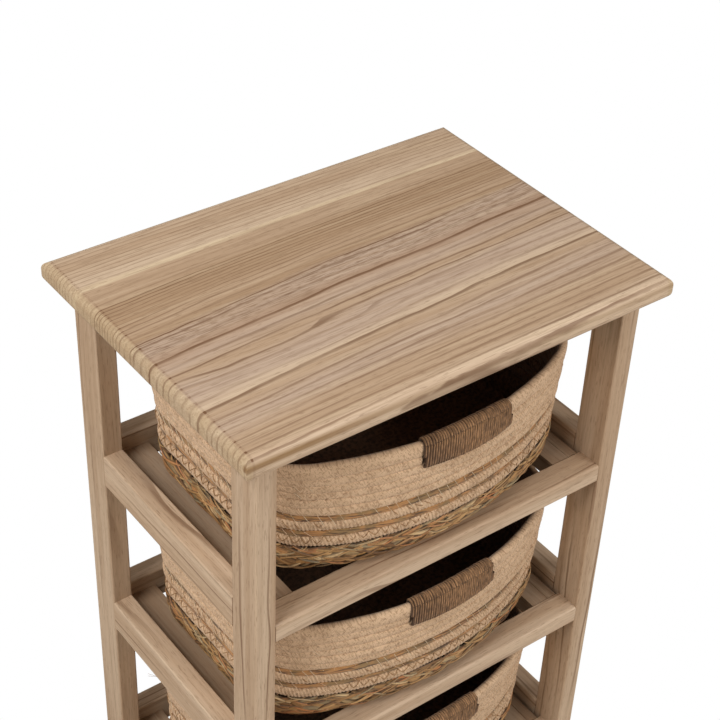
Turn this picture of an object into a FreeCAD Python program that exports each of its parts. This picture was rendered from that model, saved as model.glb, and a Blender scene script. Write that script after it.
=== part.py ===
import FreeCAD, Part
import math
import os
import re

import Sketcher

# A free-standing bathroom drawer unit: a wooden frame of four posts under a rounded top, with
# three levels of rails and runners that each carry a pull-out basket of coiled rope and husk.
# Lengths are in millimetres. The frame of the part stands on the floor at the middle of its
# outline: +X to the right, +Y to the back and +Z up.

LEVELS = 3
WRAP_TURNS = 24
TURN_FACETS = 3
MITRED = 1
STRAIGHT_SHARE = 0.999
SAME_PLACE = 0.001

SIZES = {
    # the whole unit and its top
    "width": 400.0,
    "depth": 290.0,
    "height": 590.0,
    "top_thickness": 20.0,
    "top_edge_round": 7.0,
    "overhang_side": 17.0,
    "overhang_front": 15.0,
    "overhang_back": 17.0,
    # posts and the rails of each level
    "post_width": 18.5,
    "post_depth": 32.0,
    "edge_round": 1.5,
    "bottom_rise": 79.0,
    "first_level_extra": 4.0,
    "side_rail_thickness": 18.5,
    "side_rail_height": 32.0,
    "back_rail_thickness": 18.5,
    "back_rail_height": 32.0,
    "front_rail_depth": 24.0,
    "front_rail_height": 18.0,
    "front_rail_drop": 15.0,
    "front_rail_round": 2.5,
    # runners with an outer strip and a ledge under the basket
    "runner_height": 18.0,
    "runner_strip": 9.5,
    "runner_ledge": 17.5,
    "runner_ledge_drop": 0.5,
    "runner_gap": 4.0,
    # joints inside the wood
    "tenon_length": 10.0,
    "tenon_height": 22.0,
    "tenon_thickness": 7.0,
    "flat_tenon_width": 12.0,
    "flat_tenon_height": 8.0,
    "joint_clearance": 0.1,
    "joint_end_gap": 0.5,
    "top_tenon_width": 8.0,
    "top_tenon_depth": 20.0,
    # baskets
    "basket_side_gap": 7.0,
    "basket_front_reach": 3.5,
    "basket_headroom": 45.0,
    "basket_end_radius": 285.0,
    "basket_corner_radius": 62.0,
    "basket_back_gap": 0.6,
    "slide_clearance": 0.3,
    "wall_thickness": 8.0,
    "base_wall": 10.0,
    "base_height": 34.0,
    "base_bevel": 14.0,
    "base_bevel_ease": 5.0,
    "rim_chamfer": 2.5,
    # handle: two coils of the rim, wound with twine, over a narrow slit
    "handle_length": 89.0,
    "handle_shift": 4.5,
    "handle_raise": 2.5,
    "handle_slit": 1.6,
    "core_thickness": 4.6,
    "core_height": 12.8,
    "twine_diameter": 2.9,
    "wrap_clearance": 0.9,
    "turn_clearance": 0.1,
    "wrap_end_gap": 0.8,
    "cut_overrun": 1.0,
}

# Sizes that follow from those above: the levels share the height, the baskets fill the frame

FOLLOWING = {
    "level_pitch": f"(height - bottom_rise - first_level_extra) / {LEVELS}",
    "first_rail_drop": "level_pitch + first_level_extra",
    "basket_width": "width - 2 * (overhang_side + side_rail_thickness + basket_side_gap)",
    "basket_depth": ("depth - overhang_front - overhang_back - back_rail_thickness - basket_back_gap"
                     " + basket_front_reach"),
    "basket_height": "level_pitch - basket_headroom",
}

doc = FreeCAD.newDocument("drawer_unit")
sheet = doc.addObject("Spreadsheet::Sheet", "Sizes")
room = doc.addObject("App::FeaturePython", "Room")
parts = []


def fill_sheet():
    """Write every driving size into the sheet under its own name."""
    for row, (name, value) in enumerate(SIZES.items(), start=1):
        sheet.set(f"A{row}", name)
        sheet.set(f"B{row}", str(value))
        sheet.setAlias(f"B{row}", name)
    doc.recompute()
    for name, text in FOLLOWING.items():
        room.addProperty("App::PropertyFloat", name)
        bind(room, name, text)
    doc.recompute()


def size_of(name):
    """Return the length of a size by its name."""
    return SIZES[name] if name in SIZES else getattr(room, name)


def formula(text):
    """Return an expression in which each size name points at the object that holds it."""
    def point_at(found):
        name = found.group()
        holder = "Sizes." if name in SIZES else "Room." if name in FOLLOWING else ""
        return holder + name
    return re.sub(r"[a-z][a-z_]*", point_at, text)


def bind(item, prop, text):
    """Let a property follow an expression of named sizes."""
    item.setExpression(prop, formula(text))


def level_top(level):
    """Expression for the height of the side rails' upper faces, level 1 being the highest."""
    return f"height - first_rail_drop - {level - 1} * level_pitch"


def front_rail_top(level):
    """Expression for the height of a front rail's upper face."""
    return f"{level_top(level)} - front_rail_drop"


# Building blocks


def new_body(label, base, rotation=None):
    """Start a sub-part whose origin follows three expressions."""
    body = doc.addObject("PartDesign::Body", label)
    body.Label = label
    body.Placement = FreeCAD.Placement(FreeCAD.Vector(), rotation or FreeCAD.Rotation())
    for axis, text in zip("xyz", base):
        bind(body, f"Placement.Base.{axis}", text)
    parts.append(body)
    return body


def origin_item(body, role):
    """Return one plane or axis of a sub-part's own origin."""
    return next(item for item in body.Origin.OriginFeatures if item.Role == role)


def new_sketch(body, name, plane, offset):
    """Attach a sketch to one of the sub-part's own planes, moved by three expressions."""
    sketch = body.newObject("Sketcher::SketchObject", name)
    sketch.AttachmentSupport = [(origin_item(body, plane), "")]
    sketch.MapMode = "FlatFace"
    for axis, text in zip("xyz", offset):
        bind(sketch, f"AttachmentOffset.Base.{axis}", text)
    return sketch


def draw_rectangle(sketch, wide, high):
    """Draw a rectangle about the sketch's origin."""
    corners = [FreeCAD.Vector(x, y, 0) for x, y in ((-1, -1), (1, -1), (1, 1), (-1, 1))]
    lines = [Part.LineSegment(corners[i], corners[(i + 1) % len(corners)]) for i in range(len(corners))]
    sketch.addGeometry(lines, False)
    for i in range(len(lines)):
        sketch.addConstraint(Sketcher.Constraint("Coincident", i, 2, (i + 1) % len(lines), 1))
    for i in (0, 2):
        sketch.addConstraint(Sketcher.Constraint("Horizontal", i))
        sketch.addConstraint(Sketcher.Constraint("Vertical", i + 1))
    sketch.addConstraint(Sketcher.Constraint("Symmetric", 0, 1, 2, 1, -1, 1))
    sketch.addConstraint(Sketcher.Constraint("DistanceX", 0, 1, 0, 2, 2))
    bind(sketch, f"Constraints[{sketch.ConstraintCount - 1}]", wide)
    sketch.addConstraint(Sketcher.Constraint("DistanceY", 1, 1, 1, 2, 2))
    bind(sketch, f"Constraints[{sketch.ConstraintCount - 1}]", high)


def add_pad(body, name, sketch, length):
    """Raise a sketch into a solid."""
    pad = body.newObject("PartDesign::Pad", name)
    pad.Profile = sketch
    bind(pad, "Length", length)
    sketch.Visibility = False
    doc.recompute()
    return pad


def add_pocket(body, name, sketch, length, forward=False):
    """Cut a sketch into the solid, against the sketch's normal or along it."""
    before = body.Tip.Shape.Volume
    pocket = body.newObject("PartDesign::Pocket", name)
    pocket.Profile = sketch
    pocket.Reversed = forward
    bind(pocket, "Length", length)
    sketch.Visibility = False
    doc.recompute()
    if pocket.Shape.Volume >= before:
        raise RuntimeError(f"{body.Label}: {name} cuts nothing")
    return pocket


def add_pattern(body, name, features, count, spacing):
    """Repeat features upwards at a regular spacing."""
    pattern = body.newObject("PartDesign::LinearPattern", name)
    pattern.Originals = features
    pattern.Direction = (origin_item(body, "Z_Axis"), [""])
    pattern.Occurrences = count
    bind(pattern, "Length", f"{count - 1} * ({spacing})")
    body.Tip = pattern
    doc.recompute()
    return pattern


def add_fillet(body, name, base, edges, radius):
    """Round the listed edges of a feature."""
    fillet = body.newObject("PartDesign::Fillet", name)
    fillet.Base = (base, edges)
    bind(fillet, "Radius", radius)
    doc.recompute()
    return fillet


def edges_where(feature, test):
    """Name the edges of a feature that pass a test."""
    return [f"Edge{number}" for number, edge in enumerate(feature.Shape.Edges, start=1) if test(edge)]


def runs_along(edge, axis):
    """Tell whether an edge is straight and runs along a unit vector."""
    if not isinstance(edge.Curve, Part.Line):
        return False
    return abs(edge.tangentAt(edge.FirstParameter).dot(axis)) > STRAIGHT_SHARE


def lies_at(edge, height):
    """Tell whether the whole edge lies at one height of the sub-part."""
    box = edge.BoundBox
    return abs(box.ZMin - height) < SAME_PLACE and abs(box.ZMax - height) < SAME_PLACE


ALONG = FreeCAD.Vector(0, 0, 1)
TO_BACK = FreeCAD.Rotation(FreeCAD.Vector(1, 0, 0), -90)
TO_RIGHT = FreeCAD.Rotation(FreeCAD.Vector(0, 1, 0), 90)
HALF_TURN = FreeCAD.Rotation(FreeCAD.Vector(0, 0, 1), 180)


def add_batten(body, wide, high, length):
    """Raise a straight piece of wood along its length and ease its long edges."""
    section = new_sketch(body, "section", "XY_Plane", ("0", "0", "0"))
    draw_rectangle(section, wide, high)
    pad = add_pad(body, "batten", section, length)
    return add_fillet(body, "eased_edges", pad, edges_where(pad, lambda edge: runs_along(edge, ALONG)),
                      "edge_round")


def add_tenons(body, wide, high, length, middle=("0", "0")):
    """Add a tenon to both ends of a batten."""
    section = new_sketch(body, "tenon_section", "XY_Plane", (*middle, "-tenon_length"))
    draw_rectangle(section, wide, high)
    return add_pad(body, "tenons", section, f"{length} + 2 * tenon_length")


def add_mortise(body, name, plane, offset, wide, high, forward=False):
    """Cut the pocket that takes a tenon, with a little room round it."""
    outline = new_sketch(body, name + "_outline", plane, offset)
    draw_rectangle(outline, f"{wide} + 2 * joint_clearance", f"{high} + 2 * joint_clearance")
    return add_pocket(body, name, outline, "tenon_length + joint_end_gap", forward)


# Sizes that several pieces share, as expressions

POST_X = "(width / 2 - overhang_side - post_width / 2)"
POST_FRONT_Y = "(overhang_front + post_depth / 2 - depth / 2)"
POST_BACK_Y = "(depth / 2 - overhang_back - post_depth / 2)"
POST_LENGTH = "(height - top_thickness)"
CLEAR_WIDTH = "(width - 2 * overhang_side - 2 * post_width)"
CLEAR_DEPTH = "(depth - overhang_front - overhang_back - 2 * post_depth)"
FRONT_FACE_Y = "(overhang_front - depth / 2)"
BACK_FACE_Y = "(depth / 2 - overhang_back)"
RUNNER_WIDTH = "(runner_strip + runner_ledge)"
RUNNER_OUTER_X = f"({CLEAR_WIDTH} / 2 - runner_gap)"
RUNNER_MID_X = f"({RUNNER_OUTER_X} - {RUNNER_WIDTH} / 2)"
RUNNER_LENGTH = f"({BACK_FACE_Y} - back_rail_thickness - {FRONT_FACE_Y} - front_rail_depth)"
BASKET_MID_Y = f"({BACK_FACE_Y} - back_rail_thickness - basket_back_gap - basket_depth / 2)"


def make_top():
    """Make the top: one glued-up panel with rounded edges and a mortise below for each post."""
    body = new_body("top_panel", ("0", "0", "height - top_thickness"))
    outline = new_sketch(body, "outline", "XY_Plane", ("0", "0", "0"))
    draw_rectangle(outline, "width", "depth")
    pad = add_pad(body, "panel", outline, "top_thickness")
    rims = edges_where(pad, lambda edge: not runs_along(edge, ALONG))
    add_fillet(body, "rounded_edges", pad, rims, "top_edge_round")
    for side_name, mid_x in (("left", "-" + POST_X), ("right", POST_X)):
        for end_name, mid_y in (("front", POST_FRONT_Y), ("back", POST_BACK_Y)):
            add_mortise(body, f"mortise_{end_name}_{side_name}", "XY_Plane", (mid_x, mid_y, "0"),
                        "top_tenon_width", "top_tenon_depth", forward=True)


def make_post(end, side):
    """Make one post, with the mortises for the rails of every level."""
    at_front = end == "front"
    mid_x = "-" + POST_X if side == "left" else POST_X
    body = new_body(f"post_{end}_{side}", (mid_x, POST_FRONT_Y if at_front else POST_BACK_Y, "0"))
    add_batten(body, "post_width", "post_depth", POST_LENGTH)
    tenon = new_sketch(body, "top_tenon", "XY_Plane", ("0", "0", f"{POST_LENGTH} - tenon_length"))
    draw_rectangle(tenon, "top_tenon_width", "top_tenon_depth")
    add_pad(body, "tenon", tenon, "2 * tenon_length")

    side_mid = f"{level_top(LEVELS)} - side_rail_height / 2"
    to_face = "-post_depth / 2" if at_front else "post_depth / 2"
    cuts = [add_mortise(body, "side_mortise", "XZ_Plane", ("0", side_mid, to_face),
                        "tenon_thickness", "tenon_height", forward=at_front)]
    inner_x = "post_width / 2" if side == "left" else "-post_width / 2"
    if at_front:
        rail_y = "front_rail_depth / 2 - post_depth / 2"
        rail_z = f"{front_rail_top(LEVELS)} - front_rail_height / 2"
        cuts.append(add_mortise(body, "front_mortise", "YZ_Plane", (rail_y, rail_z, inner_x),
                                "flat_tenon_width", "flat_tenon_height", forward=side == "right"))
    else:
        rail_y = "post_depth / 2 - back_rail_thickness / 2"
        rail_z = f"{level_top(LEVELS)} - back_rail_height / 2"
        cuts.append(add_mortise(body, "back_mortise", "YZ_Plane", (rail_y, rail_z, inner_x),
                                "tenon_thickness", "tenon_height", forward=side == "right"))
    add_pattern(body, "levels", cuts, LEVELS, "level_pitch")


def make_side_rail(level, side):
    """Make a side rail, flush with the posts' outer faces."""
    reach = "(width / 2 - overhang_side - side_rail_thickness / 2)"
    mid_x = "-" + reach if side == "left" else reach
    mid_z = f"{level_top(level)} - side_rail_height / 2"
    body = new_body(f"side_rail_{side}_{level}", (mid_x, f"{POST_FRONT_Y} + post_depth / 2", mid_z), TO_BACK)
    add_batten(body, "side_rail_thickness", "side_rail_height", CLEAR_DEPTH)
    add_tenons(body, "tenon_thickness", "tenon_height", CLEAR_DEPTH)


def add_runner_mortises(body, down, face, forward=False):
    """Cut the two mortises that carry the runners into a front or back rail."""
    for name, sign in (("left", "-"), ("right", "+")):
        add_mortise(body, f"runner_mortise_{name}", "XZ_Plane",
                    (down, f"{CLEAR_WIDTH} / 2 {sign} {RUNNER_MID_X}", face),
                    "flat_tenon_height", "flat_tenon_width", forward)


def make_back_rail(level):
    """Make a back rail, on edge between the back posts."""
    mid_y = f"{BACK_FACE_Y} - back_rail_thickness / 2"
    mid_z = f"{level_top(level)} - back_rail_height / 2"
    body = new_body(f"back_rail_{level}", (f"-{CLEAR_WIDTH} / 2", mid_y, mid_z), TO_RIGHT)
    add_batten(body, "back_rail_height", "back_rail_thickness", CLEAR_WIDTH)
    add_tenons(body, "tenon_height", "tenon_thickness", CLEAR_WIDTH)
    add_runner_mortises(body, "front_rail_drop + runner_height / 2 - back_rail_height / 2",
                        "back_rail_thickness / 2")


def make_front_rail(level):
    """Make a front rail, laid flat, with its front edges rounded."""
    mid_y = f"{FRONT_FACE_Y} + front_rail_depth / 2"
    mid_z = f"{front_rail_top(level)} - front_rail_height / 2"
    body = new_body(f"front_rail_{level}", (f"-{CLEAR_WIDTH} / 2", mid_y, mid_z), TO_RIGHT)
    section = new_sketch(body, "section", "XY_Plane", ("0", "0", "0"))
    draw_rectangle(section, "front_rail_height", "front_rail_depth")
    pad = add_pad(body, "batten", section, CLEAR_WIDTH)
    fronts = edges_where(pad, lambda edge: runs_along(edge, ALONG) and edge.BoundBox.YMax < 0)
    fronted = add_fillet(body, "rounded_front", pad, fronts, "front_rail_round")
    backs = edges_where(fronted, lambda edge: runs_along(edge, ALONG) and edge.BoundBox.YMin > 0)
    add_fillet(body, "eased_back", fronted, backs, "edge_round")
    add_tenons(body, "flat_tenon_height", "flat_tenon_width", CLEAR_WIDTH)
    add_runner_mortises(body, "runner_height / 2 - front_rail_height / 2", "-front_rail_depth / 2", forward=True)


def make_runner(level, side):
    """Make a runner: an outer strip level with the front rail and a ledge just below it."""
    front = f"{FRONT_FACE_Y} + front_rail_depth"
    back = f"{BACK_FACE_Y} - back_rail_thickness"
    left = side == "left"
    base = ("-" + RUNNER_OUTER_X if left else RUNNER_OUTER_X, front if left else back, front_rail_top(level))
    body = new_body(f"runner_{side}_{level}", base, TO_BACK if left else HALF_TURN.multiply(TO_BACK))
    profile = new_sketch(body, "profile", "XY_Plane", ("0", "0", "0"))
    strip = SIZES["runner_strip"]
    reach = strip + SIZES["runner_ledge"]
    step = SIZES["runner_ledge_drop"]
    deep = SIZES["runner_height"]
    corners = [FreeCAD.Vector(x, y, 0) for x, y in ((0, 0), (strip, 0), (strip, step), (reach, step),
                                                    (reach, deep), (0, deep))]
    lines = [Part.LineSegment(corners[i], corners[(i + 1) % len(corners)]) for i in range(len(corners))]
    profile.addGeometry(lines, False)
    for i in range(len(lines)):
        profile.addConstraint(Sketcher.Constraint("Coincident", i, 2, (i + 1) % len(lines), 1))
    for i in range(0, len(lines), 2):
        profile.addConstraint(Sketcher.Constraint("Horizontal", i))
        profile.addConstraint(Sketcher.Constraint("Vertical", i + 1))
    profile.addConstraint(Sketcher.Constraint("Coincident", 0, 1, -1, 1))
    for kind, first, second, text in (("DistanceX", (0, 1), (0, 2), "runner_strip"),
                                      ("DistanceX", (2, 1), (2, 2), "runner_ledge"),
                                      ("DistanceY", (1, 1), (1, 2), "runner_ledge_drop"),
                                      ("DistanceY", (5, 2), (5, 1), "runner_height")):
        profile.addConstraint(Sketcher.Constraint(kind, *first, *second, 1))
        bind(profile, f"Constraints[{profile.ConstraintCount - 1}]", text)
    add_pad(body, "batten", profile, RUNNER_LENGTH)
    add_tenons(body, "flat_tenon_width", "flat_tenon_height", RUNNER_LENGTH,
               (f"{RUNNER_WIDTH} / 2", "runner_height / 2"))


# Baskets


def draw_oval(sketch, inset=None):
    """Draw the plan of a basket: straight sides, bulging ends and round corners between them.

    The plan may be drawn in by the size that an inset names."""
    change = inset or "0"
    length = SIZES[inset] if inset else 0
    half_width = size_of("basket_width") / 2
    corner = SIZES["basket_corner_radius"]
    bulge = SIZES["basket_end_radius"]
    centre_y = bulge - size_of("basket_depth") / 2
    corner_x = half_width - corner
    corner_y = math.sqrt((bulge - corner) ** 2 - corner_x ** 2) - centre_y
    slant = math.atan2(corner_y + centre_y, corner_x)
    half, full = math.pi, 2 * math.pi
    up = FreeCAD.Vector(0, 0, 1)
    side_x = half_width - length

    def arc(x, y, radius, start, stop):
        circle = Part.Circle(FreeCAD.Vector(x, y, 0), up, radius - length)
        return Part.ArcOfCircle(circle, start, stop)

    def line(x, start, stop):
        return Part.LineSegment(FreeCAD.Vector(x, start, 0), FreeCAD.Vector(x, stop, 0))

    shapes = [
        line(side_x, -corner_y, corner_y),
        arc(corner_x, corner_y, corner, 0, slant),
        arc(0, -centre_y, bulge, slant, half - slant),
        arc(-corner_x, corner_y, corner, half - slant, half),
        line(-side_x, corner_y, -corner_y),
        arc(-corner_x, -corner_y, corner, half, half + slant),
        arc(0, centre_y, bulge, half + slant, full - slant),
        arc(corner_x, -corner_y, corner, full - slant, full),
    ]
    first = sketch.GeometryCount
    for shape in shapes:
        sketch.addGeometry(shape, False)
    for i in range(len(shapes)):
        sketch.addConstraint(Sketcher.Constraint("Tangent", first + i, 2, first + (i + 1) % len(shapes), 1))
    for i in (0, 4):
        sketch.addConstraint(Sketcher.Constraint("Vertical", first + i))
    for i in (2, 6):
        sketch.addConstraint(Sketcher.Constraint("PointOnObject", first + i, 3, -2))
    sizes = [("Radius", (first + i,), corner - length, f"basket_corner_radius - ({change})") for i in (1, 3, 5, 7)]
    sizes += [("Radius", (first + i,), bulge - length, f"basket_end_radius - ({change})") for i in (2, 6)]
    sizes += [
        ("DistanceX", (-1, 1, first, 1), side_x, f"basket_width / 2 - ({change})"),
        ("DistanceX", (first + 4, 1, -1, 1), side_x, f"basket_width / 2 - ({change})"),
        ("DistanceY", (first + 2, 3, -1, 1), centre_y, "basket_end_radius - basket_depth / 2"),
        ("DistanceY", (-1, 1, first + 6, 3), centre_y, "basket_end_radius - basket_depth / 2"),
    ]
    for kind, points, value, text in sizes:
        sketch.addConstraint(Sketcher.Constraint(kind, *points, value))
        bind(sketch, f"Constraints[{sketch.ConstraintCount - 1}]", text)


def basket_base(level):
    """Return the three expressions of a basket's lower middle point."""
    return "0", BASKET_MID_Y, f"{front_rail_top(level)} + slide_clearance"


def add_chamfer(body, name, base, edges, size):
    """Bevel the listed edges of a feature."""
    chamfer = body.newObject("PartDesign::Chamfer", name)
    chamfer.Base = (base, edges)
    bind(chamfer, "Size", size)
    doc.recompute()
    return chamfer


def make_husk_base(level):
    """Make the braided lower bowl of a basket, its foot turned in by bevelled rounds."""
    body = new_body(f"basket_{level}_husk_base", basket_base(level))
    outline = new_sketch(body, "outline", "XY_Plane", ("0", "0", "0"))
    draw_oval(outline)
    bowl = add_pad(body, "bowl", outline, "base_height")
    foot = add_chamfer(body, "turned_in_foot", bowl, edges_where(bowl, lambda edge: lies_at(edge, 0)),
                       "base_bevel")
    add_chamfer(body, "eased_foot", foot, edges_where(foot, lambda edge: lies_at(edge, SIZES["base_bevel"])),
                "base_bevel_ease")
    inside = new_sketch(body, "inside_outline", "XY_Plane", ("0", "0", "base_height"))
    draw_oval(inside, "base_wall")
    add_pocket(body, "inside", inside, "base_height - base_wall")


TURN_HEIGHT = (f"((core_thickness / 2 + wrap_clearance + twine_diameter / 2) * sin(180 deg / {TURN_FACETS})"
               " + twine_diameter / 2)")


def make_rope_wall(level):
    """Make the coiled rope wall, with an eased rim and a notch for the handle."""
    body = new_body(f"basket_{level}_rope_wall", basket_base(level))
    ring = new_sketch(body, "ring", "XY_Plane", ("0", "0", "base_height"))
    draw_oval(ring)
    draw_oval(ring, "wall_thickness")
    pad = add_pad(body, "wall", ring, "basket_height - base_height")
    add_chamfer(body, "rim", pad, edges_where(pad, lambda edge: lies_at(edge, size_of("basket_height"))),
                "rim_chamfer")
    depth = f"(core_height + 2 * turn_clearance + 2 * {TURN_HEIGHT} - handle_raise + handle_slit)"
    middle = f"basket_height + cut_overrun / 2 - {depth} / 2"
    notch = new_sketch(body, "notch_outline", "XZ_Plane", ("handle_shift", middle, "0"))
    draw_rectangle(notch, "handle_length", f"{depth} + cut_overrun")
    add_pocket(body, "notch", notch, "basket_depth", forward=True)


CORE_RADIUS = "(basket_end_radius - (wall_thickness - core_thickness) / 2)"
CORE_TOP = f"(basket_height + handle_raise - {TURN_HEIGHT} - turn_clearance)"


def make_handle_core(level):
    """Make the two coils of the rim that the handle is wound on, curved with the front wall."""
    body = new_body(f"basket_{level}_handle_core", basket_base(level))
    plan = new_sketch(body, "plan", "XY_Plane", ("0", "0", f"{CORE_TOP} - core_height"))
    outer = SIZES["basket_end_radius"] - (SIZES["wall_thickness"] - SIZES["core_thickness"]) / 2
    inner = outer - SIZES["core_thickness"]
    centre = FreeCAD.Vector(0, SIZES["basket_end_radius"] - size_of("basket_depth") / 2, 0)
    left = SIZES["handle_shift"] - SIZES["handle_length"] / 2
    right = SIZES["handle_shift"] + SIZES["handle_length"] / 2
    ends = [[FreeCAD.Vector(x, centre.y - math.sqrt(radius ** 2 - x ** 2), 0) for x in (left, right)]
            for radius in (outer, inner)]
    up = FreeCAD.Vector(0, 0, 1)
    for radius, (start, stop) in zip((outer, inner), ends):
        angles = [math.atan2(point.y - centre.y, point.x) for point in (start, stop)]
        plan.addGeometry(Part.ArcOfCircle(Part.Circle(centre, up, radius), *angles), False)
    for side in (0, 1):
        plan.addGeometry(Part.LineSegment(ends[0][side], ends[1][side]), False)
    for line, end in ((2, 1), (3, 2)):
        plan.addConstraint(Sketcher.Constraint("Coincident", line, 1, 0, end))
        plan.addConstraint(Sketcher.Constraint("Coincident", line, 2, 1, end))
        plan.addConstraint(Sketcher.Constraint("Vertical", line))
    plan.addConstraint(Sketcher.Constraint("Coincident", 0, 3, 1, 3))
    plan.addConstraint(Sketcher.Constraint("PointOnObject", 0, 3, -2))
    for kind, points, value, text in (
            ("Radius", (0,), outer, CORE_RADIUS),
            ("Radius", (1,), inner, f"{CORE_RADIUS} - core_thickness"),
            ("DistanceY", (-1, 1, 0, 3), centre.y, "basket_end_radius - basket_depth / 2"),
            ("DistanceX", (2, 1, -1, 1), -left, "handle_length / 2 - handle_shift"),
            ("DistanceX", (-1, 1, 3, 1), right, "handle_length / 2 + handle_shift")):
        plan.addConstraint(Sketcher.Constraint(kind, *points, value))
        bind(plan, f"Constraints[{plan.ConstraintCount - 1}]", text)
    add_pad(body, "coils", plan, "core_height")


def wrap_points():
    """Return where each upright run of the winding stands in plan, back and front by turns."""
    reach = wrap_reach()
    radius = SIZES["basket_end_radius"] - SIZES["wall_thickness"] / 2
    centre_y = SIZES["basket_end_radius"] - size_of("basket_depth") / 2
    span = SIZES["handle_length"] - 2 * SIZES["wrap_end_gap"] - SIZES["twine_diameter"]
    start = SIZES["handle_shift"] - span / 2
    stations = []
    for step in range(2 * WRAP_TURNS + 1):
        x = start + step * span / (2 * WRAP_TURNS)
        y = centre_y - math.sqrt(radius ** 2 - x ** 2)
        stations.append((x, y + reach if step % 2 == 0 else y - reach))
    return stations


def wrap_reach():
    """Return how far the middle of the twine runs from the middle of the wall."""
    return SIZES["core_thickness"] / 2 + SIZES["wrap_clearance"] + SIZES["twine_diameter"] / 2


def half_turn(start, stop, way):
    """Return the short runs that carry the twine over or under the core, as a faceted half turn."""
    middle = (start + stop) / 2
    reach = (start - middle).Length
    points = []
    for step in range(TURN_FACETS + 1):
        angle = math.pi * step / TURN_FACETS
        points.append(middle + (start - middle) * math.cos(angle)
                      + FreeCAD.Vector(0, 0, way * reach * math.sin(angle)))
    return [Part.LineSegment(first, last) for first, last in zip(points, points[1:])]


def make_handle_wrap(level):
    """Wind one unbroken twine round the handle's two coils."""
    half = SIZES["twine_diameter"] / 2
    turn_height = wrap_reach() * math.sin(math.pi / TURN_FACETS) + half
    high = size_of("basket_height") + SIZES["handle_raise"] - turn_height
    low = high - SIZES["core_height"] - 2 * SIZES["turn_clearance"]
    stations = wrap_points()
    curves = []
    for number, (x, y) in enumerate(stations):
        rising = number % 2 == 1
        start = FreeCAD.Vector(x, y, low if rising else high)
        stop = FreeCAD.Vector(x, y, high if rising else low)
        curves.append(Part.LineSegment(start, stop))
        if number + 1 < len(stations):
            following = FreeCAD.Vector(*stations[number + 1], stop.z)
            curves.extend(half_turn(stop, following, 1 if rising else -1))
    path = Part.Wire([curve.toShape() for curve in curves])
    begin = curves[0].StartPoint
    corners = [begin + FreeCAD.Vector(x * half, y * half, 0) for x, y in ((-1, -1), (1, -1), (1, 1), (-1, 1))]
    section = Part.makePolygon(corners + corners[:1])
    wrap = doc.addObject("Part::Feature", f"basket_{level}_handle_wrap")
    wrap.Label = f"basket_{level}_handle_wrap"
    wrap.Shape = path.makePipeShell([section], True, False, MITRED)
    for axis, text in zip("xyz", basket_base(level)):
        bind(wrap, f"Placement.Base.{axis}", text)
    parts.append(wrap)
    return curves


def report_wrap_gap(curves):
    """Print the least gap between the winding and itself, a loop and a half ahead of each run."""
    half_loop = TURN_FACETS + 1
    samples = 2 * half_loop + 1
    runs = []
    for curve in curves:
        low, high = curve.FirstParameter, curve.LastParameter
        runs.append([curve.value(low + (high - low) * i / (samples - 1)) for i in range(samples)])
    nearest = min((one - other).Length
                  for number, run in enumerate(runs)
                  for later in runs[number + half_loop - 1:number + 3 * half_loop]
                  for one in run for other in later)
    print("least gap of the winding to itself:", round(nearest - SIZES["twine_diameter"], 3))


def make_basket(level):
    """Make one basket of separate pieces."""
    make_husk_base(level)
    make_rope_wall(level)
    make_handle_core(level)
    return make_handle_wrap(level)


def check_everything():
    """Stop where an object has failed or a sub-part has no sound solid."""
    for item in doc.Objects:
        if "Invalid" in item.State or "Error" in item.State:
            raise RuntimeError(f"{item.Label}: {item.State}")
    for part in parts:
        if part.Shape.isNull() or not part.Shape.isValid() or not part.Shape.Solids:
            raise RuntimeError(f"{part.Label}: no sound solid")


def write_parts():
    """Write each sub-part to its own file."""
    os.makedirs("parts", exist_ok=True)
    for part in parts:
        part.Shape.exportStep(f"parts/{part.Label}.step")
    print("sub-parts written:", len(parts))


fill_sheet()
make_top()
for end in ("front", "back"):
    for side in ("left", "right"):
        make_post(end, side)
for level in range(1, LEVELS + 1):
    for side in ("left", "right"):
        make_side_rail(level, side)
        make_runner(level, side)
    make_back_rail(level)
    make_front_rail(level)
for level in range(1, LEVELS + 1):
    winding = make_basket(level)
doc.recompute()
report_wrap_gap(winding)
check_everything()
write_parts()
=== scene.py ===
import math
import random
from functools import reduce

import bpy
import numpy as np
from mathutils import Matrix, Vector, noise


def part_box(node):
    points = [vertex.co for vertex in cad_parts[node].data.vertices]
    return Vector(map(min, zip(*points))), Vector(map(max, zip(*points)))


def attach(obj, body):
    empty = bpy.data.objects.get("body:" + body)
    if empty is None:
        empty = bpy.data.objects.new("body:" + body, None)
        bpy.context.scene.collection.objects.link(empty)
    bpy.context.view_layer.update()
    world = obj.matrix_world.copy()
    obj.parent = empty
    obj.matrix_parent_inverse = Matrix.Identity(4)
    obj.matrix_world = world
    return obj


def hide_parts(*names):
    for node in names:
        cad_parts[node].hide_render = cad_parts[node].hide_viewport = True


# The looks of a bathroom drawer unit: grained wood on the frame's own solids, and baskets of
# coiled rope over braided husk in place of the plain ones. Lengths are in metres.

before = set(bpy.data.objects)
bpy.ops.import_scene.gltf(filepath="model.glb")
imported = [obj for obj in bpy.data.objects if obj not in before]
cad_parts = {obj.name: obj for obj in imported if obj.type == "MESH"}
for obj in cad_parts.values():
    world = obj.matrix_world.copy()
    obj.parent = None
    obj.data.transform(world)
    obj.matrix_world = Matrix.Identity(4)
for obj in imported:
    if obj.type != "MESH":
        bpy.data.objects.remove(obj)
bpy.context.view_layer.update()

MM = 0.001
LEVELS = 3


def add_object(name, data):
    """Put new data into the scene as an object."""
    item = bpy.data.objects.new(name, data)
    bpy.context.scene.collection.objects.link(item)
    return item


# The picture

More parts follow.
